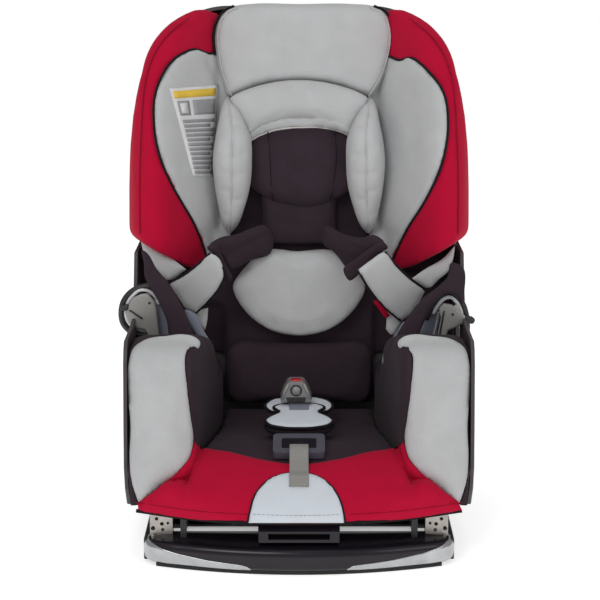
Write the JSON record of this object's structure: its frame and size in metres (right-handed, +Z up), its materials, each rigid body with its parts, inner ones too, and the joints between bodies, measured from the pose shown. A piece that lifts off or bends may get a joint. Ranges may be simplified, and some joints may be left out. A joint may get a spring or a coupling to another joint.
{
  "type": "convertible car seat",
  "caption": "Child car seat: padded bucket with deep arms on a recline base, sliding winged head module, harness pads, crotch buckle and belt lock levers.",
  "frame": {"origin": "On the floor under the middle of the seat's overall box.", "axes": "+Z is up, -Y is the front that the child faces, +X is to the right seen from the front."},
  "size_m": [0.48, 0.47, 0.7139],
  "materials": {
    "gloss_black": "high gloss moulded plastic",
    "dark_plastic": "fine texture",
    "shell_plastic": "fine texture",
    "rubber": "matte",
    "zinc_steel": "zinc plated",
    "polished_steel": "polished",
    "silver_trim": "satin silver paint",
    "grey_webbing": "woven webbing",
    "blue_webbing": "woven webbing",
    "red_fabric": "knitted polyester",
    "dark_fabric": "knitted polyester",
    "grey_fabric": "knitted polyester",
    "white_fabric": "smooth polyester",
    "bezel_plastic": "satin",
    "grey_plastic": "satin",
    "buckle_plastic": "satin",
    "red_button": "gloss"
  },
  "bodies": {
    "base": {"base_bumper": "gloss_black", "base_rear_bar": "dark_plastic", "base_tray": "dark_plastic", "base_feet": "rubber", "bracket_screws": "zinc_steel", "pivot_axle": "polished_steel", "base_trim_left": "silver_trim", "base_trim_right": "silver_trim", "base_rail_left": "dark_plastic", "base_rail_right": "dark_plastic", "index_plate_left": "zinc_steel", "index_plate_right": "zinc_steel", "pivot_bracket_left": "zinc_steel", "pivot_bracket_right": "zinc_steel"},
    "seat": {"seat_shell": "shell_plastic", "post_sockets": "dark_plastic", "harness_splitter": "zinc_steel", "harness_rear_straps": "grey_webbing", "seat_cushion": "red_fabric", "back_cushion": "dark_fabric", "lumbar_pad": "dark_fabric", "insert_arch_pillow": "grey_fabric", "insert_body": "dark_fabric", "belly_pad": "grey_fabric", "label_flap": "white_fabric", "lockoff_pins": "zinc_steel", "adjuster_bezel": "bezel_plastic", "adjuster_strap": "grey_webbing", "recline_runner_left": "zinc_steel", "recline_runner_right": "zinc_steel", "side_bolster_left": "grey_fabric", "side_bolster_right": "grey_fabric", "insert_side_pillow_left": "grey_fabric", "insert_side_pillow_right": "grey_fabric", "harness_sleeve_left": "dark_fabric", "harness_sleeve_right": "dark_fabric", "shoulder_pad_left": "grey_fabric", "shoulder_pad_right": "grey_fabric", "hip_strap_left": "blue_webbing", "hip_strap_right": "blue_webbing", "belt_band_left": "dark_fabric", "belt_band_right": "dark_fabric", "lockoff_housing_left": "dark_plastic", "lockoff_housing_right": "dark_plastic"},
    "recline_latch": {"latch_bar": "polished_steel", "recline_handle": "gloss_black"},
    "lockoff_left": {"lockoff_lever_left": "grey_plastic"},
    "lockoff_right": {"lockoff_lever_right": "grey_plastic"},
    "harness_release": {"adjuster_lever": "gloss_black"},
    "buckle": {"crotch_pad": "white_fabric", "crotch_strap": "grey_webbing", "buckle_housing": "buckle_plastic"},
    "buckle_release": {"buckle_button": "red_button"},
    "headrest": {"headrest_shell": "shell_plastic", "headrest_posts": "polished_steel", "head_pad": "grey_fabric", "release_pin": "zinc_steel", "headrest_wing_left": "red_fabric", "headrest_wing_right": "red_fabric"},
    "headrest_lever": {"headrest_release": "grey_plastic"}
  },
  "joints": [
    {"name": "seat_recline", "type": "hinge", "parent": "base", "child": "seat", "pos_m": [0, 0.12, 0.05], "axis": [-1, 0, 0], "range_deg": [0, 10]},
    {"name": "recline_latch_pull", "type": "slide", "parent": "seat", "child": "recline_latch", "axis": [0, -1, 0], "range_m": [0, 0.012], "stiffness_N_per_m": 900},
    {"name": "lockoff_left_swing", "type": "hinge", "parent": "seat", "child": "lockoff_left", "pos_m": [-0.218, 0.001, 0.306], "axis": [0, -1, 0], "range_deg": [0, 45]},
    {"name": "lockoff_right_swing", "type": "hinge", "parent": "seat", "child": "lockoff_right", "pos_m": [0.218, 0.001, 0.306], "axis": [0, 1, 0], "range_deg": [0, 45]},
    {"name": "harness_release_press", "type": "hinge", "parent": "seat", "child": "harness_release", "pos_m": [0, -0.12783, 0.15227], "axis": [1, 0, 0], "range_deg": [0, 9], "stiffness_Nm_per_rad": 0.4},
    {"name": "buckle_lift", "type": "hinge", "parent": "seat", "child": "buckle", "pos_m": [0, -0.1, 0.146], "axis": [1, 0, 0], "range_deg": [0, 60]},
    {"name": "buckle_button_press", "type": "slide", "parent": "buckle", "child": "buckle_release", "axis": [0, -0.9877, -0.1564], "range_m": [0, 0.004], "stiffness_N_per_m": 700},
    {"name": "headrest_slide", "type": "slide", "parent": "seat", "child": "headrest", "axis": [0, 0.1961, 0.9806], "range_m": [0, 0.15]},
    {"name": "headrest_release_pull", "type": "hinge", "parent": "headrest", "child": "headrest_lever", "pos_m": [0, 0.22893, 0.66825], "axis": [1, 0, 0], "range_deg": [0, 20], "stiffness_Nm_per_rad": 0.6}
  ]
}
